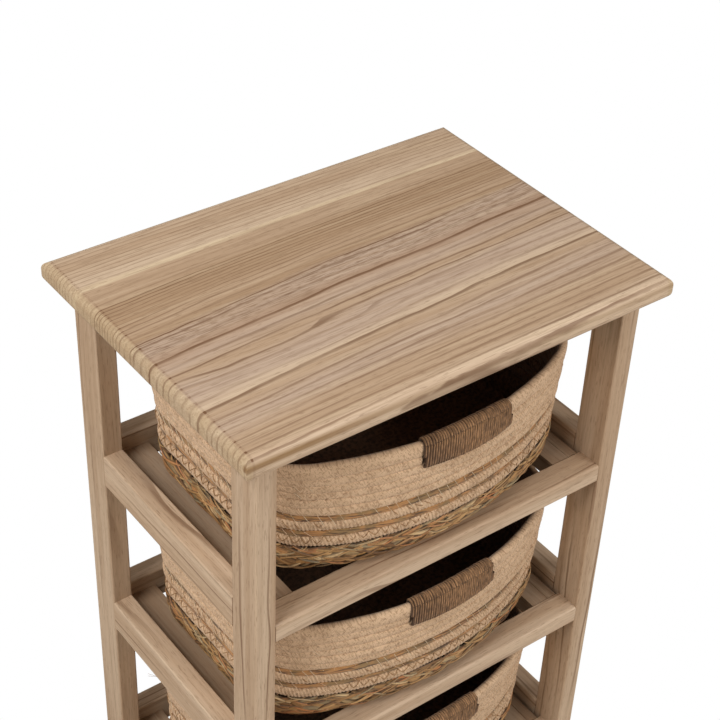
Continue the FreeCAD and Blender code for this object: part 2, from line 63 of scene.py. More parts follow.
IMAGE_WIDTH = 720
AXIS_PIXEL_X = 369.3
AXIS_PIXEL_Y = 361.0
CAMERA_PLACE = Vector((-0.6661, -0.8604, 1.3260))
CAMERA_HEADING = math.radians(38.336)
CAMERA_TILT = math.radians(37.165)
CAMERA_ROLL = math.radians(2.896)
CAMERA_LENS = 84.28
CAMERA_SENSOR = 36.0


def make_camera():
    """Stand the camera where the photograph was taken from."""
    data = bpy.data.cameras.new("camera")
    data.lens = CAMERA_LENS
    data.sensor_width = CAMERA_SENSOR
    data.shift_x = (IMAGE_WIDTH / 2 - AXIS_PIXEL_X) / IMAGE_WIDTH
    data.shift_y = (AXIS_PIXEL_Y - IMAGE_WIDTH / 2) / IMAGE_WIDTH
    camera = add_object("camera", data)
    level_right = Vector((math.cos(CAMERA_HEADING), -math.sin(CAMERA_HEADING), 0))
    forward = Vector((math.sin(CAMERA_HEADING) * math.cos(CAMERA_TILT),
                      math.cos(CAMERA_HEADING) * math.cos(CAMERA_TILT),
                      -math.sin(CAMERA_TILT)))
    level_up = level_right.cross(forward)
    right = level_right * math.cos(CAMERA_ROLL) + level_up * math.sin(CAMERA_ROLL)
    up = right.cross(forward)
    turned = Matrix((right, up, -forward)).transposed().to_4x4()
    camera.matrix_world = Matrix.Translation(CAMERA_PLACE) @ turned
    bpy.context.scene.camera = camera


# Node helpers


class Nodes:
    """Builds the node tree of a material or a world."""

    def __init__(self, owner, kind="Material"):
        self.owner = owner
        owner.use_nodes = True
        self.tree = owner.node_tree
        self.tree.nodes.clear()
        self.output = self.tree.nodes.new(f"ShaderNodeOutput{kind}")

    def put(self, socket, value):
        """Link a socket, or set it to a constant."""
        if isinstance(value, bpy.types.NodeSocket):
            self.tree.links.new(value, socket)
        else:
            socket.default_value = value

    def add(self, kind, settings=(), **inputs):
        """Add a node with its settings and inputs by name."""
        node = self.tree.nodes.new(kind)
        for key, value in dict(settings).items():
            setattr(node, key, value)
        for key, value in inputs.items():
            self.put(node.inputs[key.replace("_", " ")], value)
        return node

    def place(self):
        """Return the piece's own coordinates in metres."""
        return self.add("ShaderNodeTexCoord").outputs["Object"]

    def axes(self, vector):
        """Split a vector into x, y and z."""
        return self.add("ShaderNodeSeparateXYZ", Vector=vector).outputs

    def join(self, x, y, z):
        """Join three values into a vector."""
        return self.add("ShaderNodeCombineXYZ", X=x, Y=y, Z=z).outputs["Vector"]

    def sum(self, *values):
        """Add values up."""
        return reduce(lambda total, value: self.work("ADD", total, value), values)

    def times(self, *values):
        """Multiply values."""
        return reduce(lambda total, value: self.work("MULTIPLY", total, value), values)

    def minus(self, first, second):
        """Subtract one value from another."""
        return self.work("SUBTRACT", first, second)

    def over(self, first, second):
        """Divide one value by another."""
        return self.work("DIVIDE", first, second)

    def work(self, operation, *values, kind="ShaderNodeMath"):
        """Work on one or two values, or vectors."""
        node = self.add(kind, {"operation": operation})
        for socket, value in zip(node.inputs, values):
            self.put(socket, value)
        return node.outputs[0]

    def noise(self, vector, scale, detail=2.0, roughness=0.5):
        """Return a soft noise from 0 to 1, mostly near a half."""
        node = self.add("ShaderNodeTexNoise", Vector=vector, Scale=scale, Detail=detail,
                        Roughness=roughness)
        return node.outputs["Fac"]

    def shift(self, vector, amount):
        """Move a vector."""
        return self.work("ADD", vector, amount, kind="ShaderNodeVectorMath")

    def streaks(self, vector, scales, detail=2.0, roughness=0.5):
        """Return a soft noise with its own scale along each axis."""
        stretched = self.work("MULTIPLY", vector, scales, kind="ShaderNodeVectorMath")
        return self.noise(stretched, 1.0, detail, roughness)

    def spread(self, value, low, high, new_low=0.0, new_high=1.0):
        """Map a range of values onto another, smoothly and held at its ends."""
        node = self.add("ShaderNodeMapRange", {"interpolation_type": "SMOOTHSTEP"}, Value=value,
                        From_Min=low, From_Max=high, To_Min=new_low, To_Max=new_high)
        return node.outputs["Result"]

    def curve(self, value, points):
        """Map a value from 0 to 1 through a curve."""
        node = self.add("ShaderNodeFloatCurve")
        self.put(node.inputs["Value"], value)
        line = node.mapping.curves[0]
        line.points[0].location = points[0]
        line.points[1].location = points[-1]
        for point in points[1:-1]:
            line.points.new(*point)
        for point in line.points:
            point.handle_type = "VECTOR"
        node.mapping.update()
        return node.outputs["Value"]

    def blend(self, factor, first, second):
        """Mix two colours."""
        node = self.add("ShaderNodeMix", {"data_type": "RGBA"})
        self.put(node.inputs["Factor"], factor)
        colours = [socket for socket in node.inputs if socket.type == "RGBA"]
        self.put(colours[0], first)
        self.put(colours[1], second)
        return next(item for item in node.outputs if item.type == "RGBA")

    def ramp(self, value, stops):
        """Map a value through a ramp of colours."""
        node = self.add("ShaderNodeValToRGB", Fac=value)
        ramp = node.color_ramp
        ramp.elements[0].position, ramp.elements[0].color = stops[0]
        ramp.elements[1].position, ramp.elements[1].color = stops[-1]
        for position, colour in stops[1:-1]:
            element = ramp.elements.new(position)
            element.color = colour
        return node.outputs["Color"]

    def attribute(self, name):
        """Return a value stored on the mesh."""
        return self.add("ShaderNodeAttribute", {"attribute_name": name}).outputs

    def bump(self, height, distance, strength):
        """Return the direction of a surface that is dented by a height from 0 to 1."""
        node = self.add("ShaderNodeBump", Height=height, Distance=distance, Strength=strength)
        return node.outputs["Normal"]

    def cover(self, shader):
        """Lay a shader on the surface."""
        self.put(self.output.inputs["Surface"], shader)

    def finish(self, colour, roughness, normal, **shader):
        """Set the surface and return the material."""
        node = self.add("ShaderNodeBsdfPrincipled", Base_Color=colour, Roughness=roughness, Normal=normal,
                        **shader)
        self.cover(node.outputs["BSDF"])
        return self.owner


def new_material(name):
    """Return the empty nodes of a new material."""
    return Nodes(bpy.data.materials.new(name))


def rgb(red, green, blue):
    """Return a colour given in screen steps of 0 to 255 as a linear one."""
    def linear(step):
        share = step / 255
        return share / 12.92 if share <= 0.04045 else ((share + 0.055) / 1.055) ** 2.4
    return linear(red), linear(green), linear(blue), 1.0


# Wood

WOOD_PALE = rgb(206, 182, 156)
WOOD_MIDDLE = rgb(186, 158, 130)
WOOD_CREAM = rgb(222, 200, 168)
WOOD_PINK = rgb(190, 166, 146)
WOOD_RED = rgb(176, 146, 122)
WOOD_BROWN = rgb(172, 142, 112)
WOOD_LINE = rgb(112, 78, 50)
WOOD_END = rgb(190, 168, 134)
# A dark wood tone: painted shade on the runners, and a slightly darker tone on the posts.
WOOD_SHADE_AND_TONE = rgb(108, 82, 58)
WOOD_WEDGE = rgb(146, 114, 74)
FIBRE_SCALES = (30, 1500, 1500)
STREAK_SCALES = (5, 210, 210)
THREAD_SCALES = (22, 620, 620)
PORE_SCALES = (90, 1100, 1100)
LINE_SHARE = 0.92
WOOD_DENT = 0.0002


def finish_wood(nodes, tone, point, lines, seed, figure=1.0):
    """Colour and dent wood from its base tone and growth lines; the figure is its fibres' strength."""
    fibre = nodes.streaks(point, FIBRE_SCALES, 3.0, 0.6)
    streak = nodes.streaks(point, STREAK_SCALES, 3.0, 0.55)
    thread = nodes.streaks(nodes.shift(point, (0, seed, 0)), THREAD_SCALES, 2.0, 0.6)
    pore = nodes.streaks(nodes.shift(point, (seed, 0, 0)), PORE_SCALES, 1.0)
    tone = nodes.blend(nodes.spread(streak, 0.45, 0.66, 0.0, 0.35 * figure), tone, WOOD_BROWN)
    tone = nodes.blend(nodes.spread(streak, 0.32, 0.5, 0.22 * figure, 0.0), tone, WOOD_CREAM)
    tone = nodes.blend(nodes.spread(thread, 0.50, 0.66, 0.0, 0.24 * figure), tone, WOOD_LINE)
    tone = nodes.blend(nodes.times(lines, LINE_SHARE), tone, WOOD_LINE)
    tone = nodes.blend(nodes.spread(fibre, 0.5, 0.78, 0.0, 0.22), tone, WOOD_LINE)
    tone = nodes.blend(nodes.spread(pore, 0.60, 0.70, 0.0, 0.34), tone, WOOD_LINE)
    height = nodes.minus(nodes.times(fibre, 0.5), nodes.times(lines, 0.3))
    rough = nodes.spread(fibre, 0.3, 0.7, 0.52, 0.68)
    return nodes.finish(tone, rough, nodes.bump(height, WOOD_DENT, 0.5))


def growth_lines(nodes, rings, width):
    """Turn a count of growth rings into thin dark lines that fade on one side."""
    share = nodes.work("FRACT", rings)
    rise = nodes.spread(share, 1.0 - width, 0.84)
    fall = nodes.spread(share, 0.95, 1.0, 1.0, 0.0)
    return nodes.times(rise, fall)


# Posts, rails and runners, by the first word of their names; the others have their grain along X

GRAINS = {"post": "Z", "side": "Y", "runner": "Y"}
# Runners are darkened as painted shade, where the baskets shade them; posts are a little darker in tone.
SHADE_AND_TONE_SHARES = {"runner": 0.6, "post": 0.07}
BATTEN_FIGURE_SHARE = 0.6
BATTEN_WANDER = 0.02
BATTEN_RIPPLE = 0.0012
BATTEN_LINE_WIDTH = 0.35


def make_batten_wood(name, grain, seed, spacing, slant, darkening):
    """Make the wood of one post, rail or runner, grained along one axis; darkening paints shade on the
    runners.
    """
    nodes = new_material(name)
    x, y, z = nodes.axes(nodes.shift(nodes.place(), (seed * 0.37, seed * 0.53, seed * 0.71)))
    along, across, deep = {"X": (x, y, z), "Y": (y, x, z), "Z": (z, x, y)}[grain]
    point = nodes.join(along, across, deep)
    wander = nodes.streaks(point, (4, 10, 10))
    ripple = nodes.streaks(point, (22, 60, 60))
    rings = nodes.sum(nodes.times(across, math.cos(slant) / spacing),
                      nodes.times(deep, math.sin(slant) / spacing),
                      nodes.times(wander, BATTEN_WANDER / spacing),
                      nodes.times(ripple, BATTEN_RIPPLE / spacing))
    lines = growth_lines(nodes, rings, BATTEN_LINE_WIDTH)
    whole = nodes.work("FLOOR", rings)
    strength = nodes.noise(nodes.join(whole, nodes.times(along, 3.0), seed), 1.7, 1.0)
    lines = nodes.times(lines, nodes.spread(strength, 0.46, 0.72, 0.05, 0.8))
    board = nodes.streaks(point, (2.5, 60, 60))
    tone = nodes.blend(nodes.spread(board, 0.35, 0.65), WOOD_PALE, WOOD_MIDDLE)
    # Painted shade on the runners, a slightly darker tone on the posts.
    tone = nodes.blend(darkening, tone, WOOD_SHADE_AND_TONE)
    return finish_wood(nodes, tone, point, lines, seed, BATTEN_FIGURE_SHARE)


# The top's boards, as distances in millimetres from the middle at the top's left end, front to back

TOP_BANDS = [
    (-145, WOOD_PALE), (-136, WOOD_MIDDLE), (-120, WOOD_MIDDLE), (-104, WOOD_PINK), (-88, WOOD_MIDDLE),
    (-80, WOOD_PALE), (-66, WOOD_PINK), (-52, WOOD_PINK), (-42, WOOD_MIDDLE), (-30, WOOD_PINK),
    (-18, WOOD_RED), (-8, WOOD_PINK), (4, WOOD_PINK), (12, WOOD_BROWN), (22, WOOD_MIDDLE),
    (40, WOOD_BROWN), (60, WOOD_BROWN), (70, WOOD_MIDDLE), (88, WOOD_MIDDLE), (89.5, WOOD_CREAM),
    (93, WOOD_CREAM), (96, WOOD_PALE), (102, WOOD_PALE), (125, WOOD_MIDDLE), (145, WOOD_PALE)]
TOP_LINES = [
    -142, -134, -127.5, -121, -114.5, -108, -101, -95, -82, -71, -62, -52, -45.5, -38, -29, -18, -6, 4,
    8, 17, 24, 29.5, 34, 38, 42, 46, 50, 54, 58, 61.5, 68, 79, 91, 97, 102, 106.5, 111, 115.5, 120,
    124.5, 129, 133.5, 138, 142]
TOP_STRONG_SHARES = [
    (-145, 0.7), (-128, 0.55), (-95, 0.6), (-80, 0.9), (-70, 0.35), (-55, 0.3), (-46, 0.8), (-38, 0.75),
    (-26, 0.6), (-18, 1.0), (-12, 0.35), (0, 0.5), (8, 1.0), (12, 0.35), (25, 0.6), (45, 0.65),
    (61, 0.85), (66, 0.4), (78, 0.2), (91, 0.12), (102, 0.4), (125, 0.45), (145, 0.4)]

# How far the boards slant to the back: by the share of the way to the right, and by the board

RISE_SHARES = [(0.0, 0.0), (0.25, 0.36), (0.47, 0.6), (0.68, 0.72), (1.0, 1.0)]
SLOPE_SHARES = [
    (0.0, 0.25), (0.12, 0.38), (0.25, 0.80), (0.4, 0.62), (0.5, 0.78), (0.6, 0.9), (0.7, 0.5),
    (0.78, 0.38), (0.83, 0.05), (1.0, 0.02)]
TOP_SLANT = 0.029
TOP_WANDER = 0.010
TOP_RIPPLE = 0.0022
TOP_LINE_WIDTH = 0.36
TOP_SEED = 3.1
LENS_FROM_LEFT = 0.105
LENS_FROM_FRONT = 0.092
LENS_HALF_LENGTH = 0.11
LENS_HALF_WIDTH = 0.020
LENS_PUSH = 0.008
RED_STREAK = (-24, -6, 6, 14)
END_INNER = 0.0065
END_OUTER = 0.0035
# Where the painted shade of the crease near the top's left end lies.
SHADED_CREASE_FROM_LEFT = 0.0062


def top_lens(nodes, x, y, low):
    """Return an oval near the top's front left, 1 in its middle, that the lines bend round."""
    along = nodes.over(nodes.minus(x, low.x + LENS_FROM_LEFT), LENS_HALF_LENGTH)
    across = nodes.over(nodes.minus(y, low.y + LENS_FROM_FRONT), LENS_HALF_WIDTH)
    away = nodes.sum(nodes.times(along, along), nodes.times(across, across))
    return nodes.spread(nodes.times(away, -1.0), -1.0, 0.0)


def front_wedge(nodes, y, below, run, low):
    """Return the share of the brown wedge in the top's front edge, which fades to the right."""
    front = nodes.spread(y, low.y + 0.003, low.y + 0.006, 1.0, 0.0)
    upper = nodes.spread(below, 0.002, 0.006)
    lower = nodes.spread(below, 0.008, 0.010, 1.0, 0.0)
    return nodes.times(front, nodes.times(upper, lower), nodes.spread(run, 0.1, 0.4, 1.0, 0.35))


def make_top_wood():
    """Make the top's wood from its boards: tones and lines that rise slowly to the right."""
    nodes = new_material("top_wood")
    low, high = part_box("top_panel")
    x, y, z = nodes.axes(nodes.place())
    width, depth = high.x - low.x, high.y - low.y
    below = nodes.minus(high.z, z)
    run = nodes.over(nodes.minus(x, low.x), width)
    front_share = nodes.over(nodes.minus(y, low.y), depth)
    slant = nodes.times(nodes.curve(run, RISE_SHARES), nodes.curve(front_share, SLOPE_SHARES), TOP_SLANT)
    point = nodes.join(x, y, z)
    wander = nodes.minus(nodes.streaks(point, (7, 18, 18)), 0.5)
    ripple = nodes.minus(nodes.streaks(point, (30, 120, 120), 2.0, 0.6), 0.5)
    in_middle = nodes.times(nodes.spread(front_share, 0.12, 0.3),
                            nodes.spread(front_share, 0.6, 0.75, 1.0, 0.15))
    wobble = nodes.sum(nodes.times(wander, in_middle, TOP_WANDER), nodes.times(ripple, TOP_RIPPLE))
    cut = nodes.sum(y, nodes.times(slant, -1.0), wobble, nodes.times(below, -0.02),
                    nodes.times(top_lens(nodes, x, y, low), LENS_PUSH))
    place = nodes.over(nodes.minus(cut, low.y), depth)

    def share(distance):
        return (distance * MM - low.y) / depth

    tone = nodes.ramp(place, [(share(distance), colour) for distance, colour in TOP_BANDS])
    marks = [(share(distance), number / len(TOP_LINES)) for number, distance in enumerate(TOP_LINES)]
    count = nodes.curve(place, [(0.0, -0.01), *marks, (1.0, 1.0)])
    rings = nodes.sum(nodes.times(count, float(len(TOP_LINES))), 0.95)
    lines = growth_lines(nodes, rings, TOP_LINE_WIDTH)
    strong = nodes.curve(place, [(share(distance), value) for distance, value in TOP_STRONG_SHARES])
    faint = nodes.spread(nodes.streaks(point, (9, 90, 90), 1.0), 0.3, 0.62, 0.5, 1.0)
    lines = nodes.times(lines, strong, faint)
    start, full, fading, stop = [share(distance) for distance in RED_STREAK]
    red = nodes.times(nodes.spread(place, start, full), nodes.spread(place, fading, stop, 1.0, 0.0))
    fleck = nodes.spread(nodes.streaks(point, (70, 900, 900), 2.0, 0.6), 0.48, 0.62, 0.0, 0.6)
    tone = nodes.blend(nodes.times(red, fleck), tone, WOOD_LINE)
    left_end = nodes.spread(x, low.x + END_OUTER, low.x + END_INNER, 1.0, 0.0)
    right_end = nodes.spread(x, high.x - END_INNER, high.x - END_OUTER)
    end = nodes.work("MAXIMUM", left_end, right_end)
    tone = nodes.blend(nodes.times(end, 0.65), tone, WOOD_END)
    # A thin dark line along the crease near the left end is painted shade; the growth lines are darker on
    # it too.
    to_shaded_crease = nodes.work("ABSOLUTE", nodes.minus(x, low.x + SHADED_CREASE_FROM_LEFT))
    crease_shade = nodes.spread(to_shaded_crease, 0.0004, 0.0016, 1.0, 0.0)
    crease_shade_lines = nodes.times(crease_shade, lines, 2.2)
    lines = nodes.work("MAXIMUM", nodes.work("MAXIMUM", lines, crease_shade_lines), nodes.times(crease_shade, 0.22))
    tone = nodes.blend(front_wedge(nodes, y, below, run, low), tone, WOOD_WEDGE)
    return finish_wood(nodes, tone, point, lines, TOP_SEED)


def dress_frame():
    """Give every wooden solid its own piece of wood."""
    random.seed(7)
    for name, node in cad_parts.items():
        kind = name.split("_")[0]
        if kind == "basket":
            continue
        if kind == "top":
            material = make_top_wood()
        else:
            material = make_batten_wood(f"wood_{name}", GRAINS.get(kind, "X"), random.uniform(1, 9),
                                        random.uniform(0.005, 0.009), random.uniform(0.2, 1.3),
                                        SHADE_AND_TONE_SHARES.get(kind, 0.0))
        node.data.materials.clear()
        node.data.materials.append(material)


# Plan of a basket

CORNER_RADIUS = 0.062
BULGE_RADIUS = 0.285
BACK_CORNER_RADIUS = 0.045
BACK_BULGE_RADIUS = 0.400
WALL = 0.008
HUSK_HEIGHT = 0.0315
FOOT_INSET = 0.0066
FLARE = 0.0098
SIDE_RISE = 0.0140
RISE_FROM = 0.112
RISE_RUN = 0.060
RISE_TOP_SHARE = 0.94
RISE_POWER = 0.7
RIM_DROPS = {1: 0.0045, 2: 0.0045}
SIDE_SHIFTS = {1: 0.0015, 2: 0.0015}


def arc(x, y, radius, start, turn):
    """Return an arc of an outline."""
    return abs(turn) * radius, "arc", (x, y, radius, start, turn)


def line(x, start, stop, side):
    """Return a straight run of an outline, along Y."""
    return abs(stop - start), "line", (x, start, stop, side)


def corner(half, radius, bulge):
    """Return a corner's middle, its bulge's middle and the slant where both meet."""
    x = half[0] - radius
    centre = bulge - half[1]
    y = math.sqrt((bulge - radius) ** 2 - x ** 2) - centre
    return x, y, centre, math.atan2(y + centre, x)


class Plan:
    """The closed outline of a basket, from the middle of its back by the right side and the front."""

    def __init__(self, level):
        low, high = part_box(f"basket_{level}_husk_base")
        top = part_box(f"basket_{level}_rope_wall")[1]
        self.middle = (low + high) / 2
        self.bottom = low.z
        self.drop = RIM_DROPS.get(level, 0.0)
        self.rim = top.z - self.drop
        self.middle.x += SIDE_SHIFTS.get(level, 0.0)
        half = (high.x - low.x) / 2, (high.y - low.y) / 2
        back_x, back_y, back_centre, back = corner(half, BACK_CORNER_RADIUS, BACK_BULGE_RADIUS)
        x, y, self.front_centre, slant = corner(half, CORNER_RADIUS, BULGE_RADIUS)
        quarter = math.pi / 2
        self.parts = [
            arc(0, -back_centre, BACK_BULGE_RADIUS, quarter, back - quarter),
            arc(back_x, back_y, BACK_CORNER_RADIUS, back, -back),
            line(half[0], back_y, -y, 1),
            arc(x, -y, CORNER_RADIUS, 0, -slant),
            arc(0, self.front_centre, BULGE_RADIUS, -slant, 2 * slant - math.pi),
            arc(-x, -y, CORNER_RADIUS, slant - math.pi, -slant),
            line(-half[0], -y, back_y, -1),
            arc(-back_x, back_y, BACK_CORNER_RADIUS, math.pi, -back),
            arc(0, -back_centre, BACK_BULGE_RADIUS, math.pi - back, back - quarter)]
        lengths = [part[0] for part in self.parts]
        self.length = sum(lengths)
        self.front_middle = sum(lengths[:4]) + lengths[4] / 2

    def lean(self, heights):
        """Return how far the wall stands outside its middle plan at given heights."""
        return -FOOT_INSET + FLARE * (heights - self.bottom) / (self.rim - self.bottom)

    def rise(self, places, heights):
        """Return how far rows climb towards the sides and the back; the foot and the rim stay level."""
        share = (heights - self.bottom) / (self.rim - self.bottom)
        back = np.clip((places[..., 1] - self.middle.y + RISE_FROM) / RISE_RUN, 0, 1)
        swell = np.sin(np.clip(share / RISE_TOP_SHARE, 0, 1) * math.pi) ** RISE_POWER
        return SIDE_RISE * back * back * (3 - 2 * back) * swell

    def walk(self, distances, inset=0.0):
        """Return x, y and the outward direction at distances along the outline."""
        distances = np.mod(distances, self.length)
        place = np.zeros((len(distances), 2))
        outward = np.zeros((len(distances), 2))
        begin = 0.0
        for length, kind, facts in self.parts:
            here = (distances >= begin) & (distances <= begin + length)
            share = (distances[here] - begin) / length
            if kind == "arc":
                x, y, radius, start, turn = facts
                angle = start + turn * share
                direction = np.stack([np.cos(angle), np.sin(angle)], -1)
                place[here] = np.array([x, y]) + direction * radius
                outward[here] = direction
            else:
                x, start, stop, side = facts
                place[here] = np.stack([np.full(share.shape, x), start + (stop - start) * share], -1)
                outward[here] = (side, 0)
            begin += length
        place = place - outward * np.reshape(inset, (-1, 1))
        place += np.array([self.middle.x, self.middle.y])
        return place, outward


# Meshes


def make_piece(body, part, shape, material, smooth=True, extra=()):
    """Make a mesh object that rides on a body; extra holds values of its points for the material."""
    name = f"{body}_{part}"
    mesh = bpy.data.meshes.new(name)
    vertices, faces = shape
    faces = np.asarray(faces, np.int32)
    corners = faces.shape[1]
    mesh.vertices.add(len(vertices))
    mesh.vertices.foreach_set("co", np.asarray(vertices, np.float32).ravel())
    mesh.loops.add(faces.size)
    mesh.loops.foreach_set("vertex_index", faces.ravel())
    mesh.polygons.add(len(faces))
    mesh.polygons.foreach_set("loop_start", np.arange(0, faces.size, corners, dtype=np.int32))
    mesh.update(calc_edges=True)
    mesh.polygons.foreach_set("use_smooth", np.full(len(faces), smooth))
    for key, values in dict(extra).items():
        values = np.asarray(values, np.float32)
        kind, field = ("FLOAT", "value") if values.ndim == 1 else ("FLOAT_VECTOR", "vector")
        mesh.attributes.new(key, kind, "POINT").data.foreach_set(field, values.ravel())
    mesh.materials.append(material)
    item = add_object(name, mesh)
    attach(item, body)
    return item


def grid_faces(rows, columns, closed_rows=False, closed_columns=False):
    """Return the quads of a grid of points, row by row."""
    row = np.arange(rows if closed_rows else rows - 1)
    column = np.arange(columns if closed_columns else columns - 1)
    row, column = np.meshgrid(row, column, indexing="ij")
    next_row = (row + 1) % rows
    next_column = (column + 1) % columns
    quads = np.stack([row * columns + column, next_row * columns + column,
                      next_row * columns + next_column, row * columns + next_column], -1)
    return quads.reshape(-1, 4)


def tube(points, radius, sides, closed=False):
    """Sweep a ring along points. Returns vertices and quads."""
    if closed:
        tangent = np.roll(points, -1, 0) - np.roll(points, 1, 0)
    else:
        tangent = np.gradient(points, axis=0)
    tangent /= np.linalg.norm(tangent, axis=1)[:, None] + 1e-12
    helper = np.tile([0.0, 0.0, 1.0], (len(points), 1))
    steep = np.abs(tangent[:, 2]) > 0.95
    helper[steep] = (1.0, 0.0, 0.0)
    side = np.cross(tangent, helper)
    side /= np.linalg.norm(side, axis=1)[:, None]
    up = np.cross(side, tangent)
    angles = np.arange(sides) * 2 * math.pi / sides
    ring = side[:, None, :] * np.cos(angles)[:, None] + up[:, None, :] * np.sin(angles)[:, None]
    vertices = points[:, None, :] + ring * radius
    return vertices.reshape(-1, 3), grid_faces(len(points), sides, closed, True)


def raised(place, heights):
    """Give points in plan their heights."""
    return np.column_stack([place, np.broadcast_to(heights, len(place))])


def spots(x, y, z):
    """Stretch x, y and z to one shape and return them as a list of points."""
    return np.stack(np.broadcast_arrays(x, y, z), -1).reshape(-1, 3)


def gather(shapes):
    """Join shapes, each its vertices and quads, into one."""
    vertices, faces, start = [], [], 0
    for points, quads in shapes:
        vertices.append(points)
        faces.append(quads + start)
        start += len(points)
    return np.concatenate(vertices), np.concatenate(faces)


def gather_grids(grids):
    """Join grids, each its vertices, quads and values for the material, into a shape and its values."""
    shape = gather([(points, quads) for points, quads, _ in grids])
    values = [grid[2] for grid in grids]
    return shape, {key: np.concatenate([one[key] for one in values]) for key in values[0]}


# Rope, husk and twine materials

COTTON = rgb(216, 184, 150)
COTTON_SHADE = rgb(142, 106, 74)
BROWN_CORD = rgb(182, 132, 80)
OLIVE_CORD = rgb(146, 116, 74)
BROWN_SHADE = rgb(70, 46, 28)
# A dark brown painted as the shade inside the baskets: on the rope's inner side, the shell and the
# handle's filling.
INSIDE_SHADE = rgb(92, 64, 44)
JUTE = rgb(176, 134, 94)
JUTE_SHADE = rgb(62, 40, 26)


def lay_coordinates(nodes, degrees):
    """Return run and height on the surface, turned by an angle."""
    lie = nodes.axes(nodes.attribute("lie")["Vector"])
    turn = math.radians(degrees)
    cosine, sine = math.cos(turn), math.sin(turn)
    run = nodes.sum(nodes.times(lie[0], cosine), nodes.times(lie[1], sine))
    across = nodes.sum(nodes.times(lie[1], cosine), nodes.times(lie[0], -sine))
    return nodes.join(run, across, lie[2])


# The strokes of a rope: their angle in degrees, and their scales along and across themselves

YARN = ((62, 260, 900), (-48, 280, 900))
LEAF_STRIPS = ((6, 55, 620), (-9, 60, 560))


def make_rope_material(name, lit, other, shade, speck_share, strokes=YARN):
    """Make rope of fine yarns: short slanting strokes, dark specks, painted shade in its grooves and
    inner side, a soft sheen.
    """
    nodes = new_material(name)
    point = nodes.place()
    crease_shade = nodes.attribute("crease_shade")["Fac"]
    inner_shade = nodes.attribute("inner_shade")["Fac"]
    rising, falling = [nodes.streaks(lay_coordinates(nodes, turn), (along, across, 50), 1.0)
                       for turn, along, across in strokes]
    fuzz = nodes.noise(point, 1500.0, 2.0, 0.7)
    patch = nodes.noise(point, 70.0, 2.0, 0.6)
    tone = nodes.blend(nodes.spread(patch, 0.42, 0.62), lit, other)
    # Painted shade in the grooves between the strands.
    dark = nodes.times(crease_shade, nodes.spread(patch, 0.3, 0.65, 0.4, 0.9))
    tone = nodes.blend(dark, tone, shade)
    tone = nodes.blend(nodes.spread(rising, 0.50, 0.64, 0.0, speck_share), tone, shade)
    tone = nodes.blend(nodes.spread(falling, 0.58, 0.68, 0.0, speck_share), tone, shade)
    tone = nodes.blend(nodes.spread(fuzz, 0.55, 0.8, 0.0, 0.25), tone, shade)
    # Painted shade on the side of the rope that faces into the basket.
    tone = nodes.blend(inner_shade, tone, INSIDE_SHADE)
    height = nodes.sum(nodes.times(fuzz, 0.3), rising, nodes.times(falling, 0.5))
    normal = nodes.bump(height, 0.0007, 0.8)
    return nodes.finish(tone, 0.92, normal, Sheen_Weight=0.12, Sheen_Roughness=0.6)


HUSK_TONES = [
    (0.0, rgb(116, 82, 50)), (0.2, rgb(178, 134, 82)), (0.42, rgb(208, 166, 112)),
    (0.58, rgb(190, 126, 76)), (0.72, rgb(182, 144, 92)), (0.86, rgb(158, 142, 110)),
    (0.93, rgb(222, 190, 142)), (1.0, rgb(186, 148, 104))]


def make_husk_material():
    """Make dry leaf: each strip its own tone, with long fibres and painted shade along its edges."""
    nodes = new_material("husk_leaf")
    tint = nodes.attribute("tint")["Fac"]
    edge_shade = nodes.attribute("edge_shade")["Fac"]
    lie = nodes.attribute("lie")["Vector"]
    fibre = nodes.streaks(lie, (40, 1100, 1), 2.0, 0.6)
    blotch = nodes.noise(nodes.place(), 110.0, 2.0, 0.6)
    tone = nodes.ramp(tint, HUSK_TONES)
    tone = nodes.blend(nodes.spread(fibre, 0.46, 0.66, 0.0, 0.6), tone, rgb(88, 58, 34))
    tone = nodes.blend(nodes.spread(blotch, 0.5, 0.75, 0.0, 0.45), tone, rgb(104, 70, 42))
    # Painted shade along the edges of each strip, where it meets its neighbours.
    tone = nodes.blend(nodes.times(edge_shade, 0.9), tone, rgb(48, 30, 18))
    return nodes.finish(tone, 0.6, nodes.bump(fibre, 0.0005, 0.8))


def make_plain_material(name, colour, dark, scale=800.0):
    """Make a dull mottled fibre."""
    nodes = new_material(name)
    grain = nodes.noise(nodes.place(), scale, 3.0, 0.6)
    tone = nodes.blend(nodes.spread(grain, 0.35, 0.7), colour, dark)
    return nodes.finish(tone, 0.9, nodes.bump(grain, 0.0004, 0.6))


def make_jute_material():
    """Make twine of twisted plies with fibres along its run, with painted shade where its turns meet."""
    nodes = new_material("jute_twine")
    lie = nodes.axes(nodes.attribute("lie")["Vector"])
    crease_shade = nodes.attribute("crease_shade")["Fac"]
    along = nodes.join(nodes.times(lie[0], 150.0), nodes.times(lie[1], 9.0), 0.0)
    fibre = nodes.noise(along, 1.0, 2.0, 0.6)
    wide = nodes.noise(nodes.place(), 140.0, 2.0, 0.6)
    tone = nodes.blend(nodes.spread(fibre, 0.38, 0.62), JUTE, rgb(116, 86, 58))
    tone = nodes.blend(nodes.spread(wide, 0.45, 0.75, 0.0, 0.45), tone, JUTE_SHADE)
    # Painted shade where the turns of the twine meet.
    tone = nodes.blend(nodes.times(crease_shade, 0.85), tone, JUTE_SHADE)
    return nodes.finish(tone, 0.9, nodes.bump(fibre, 0.0005, 0.9), Sheen_Weight=0.1, Sheen_Roughness=0.5)


# Baskets

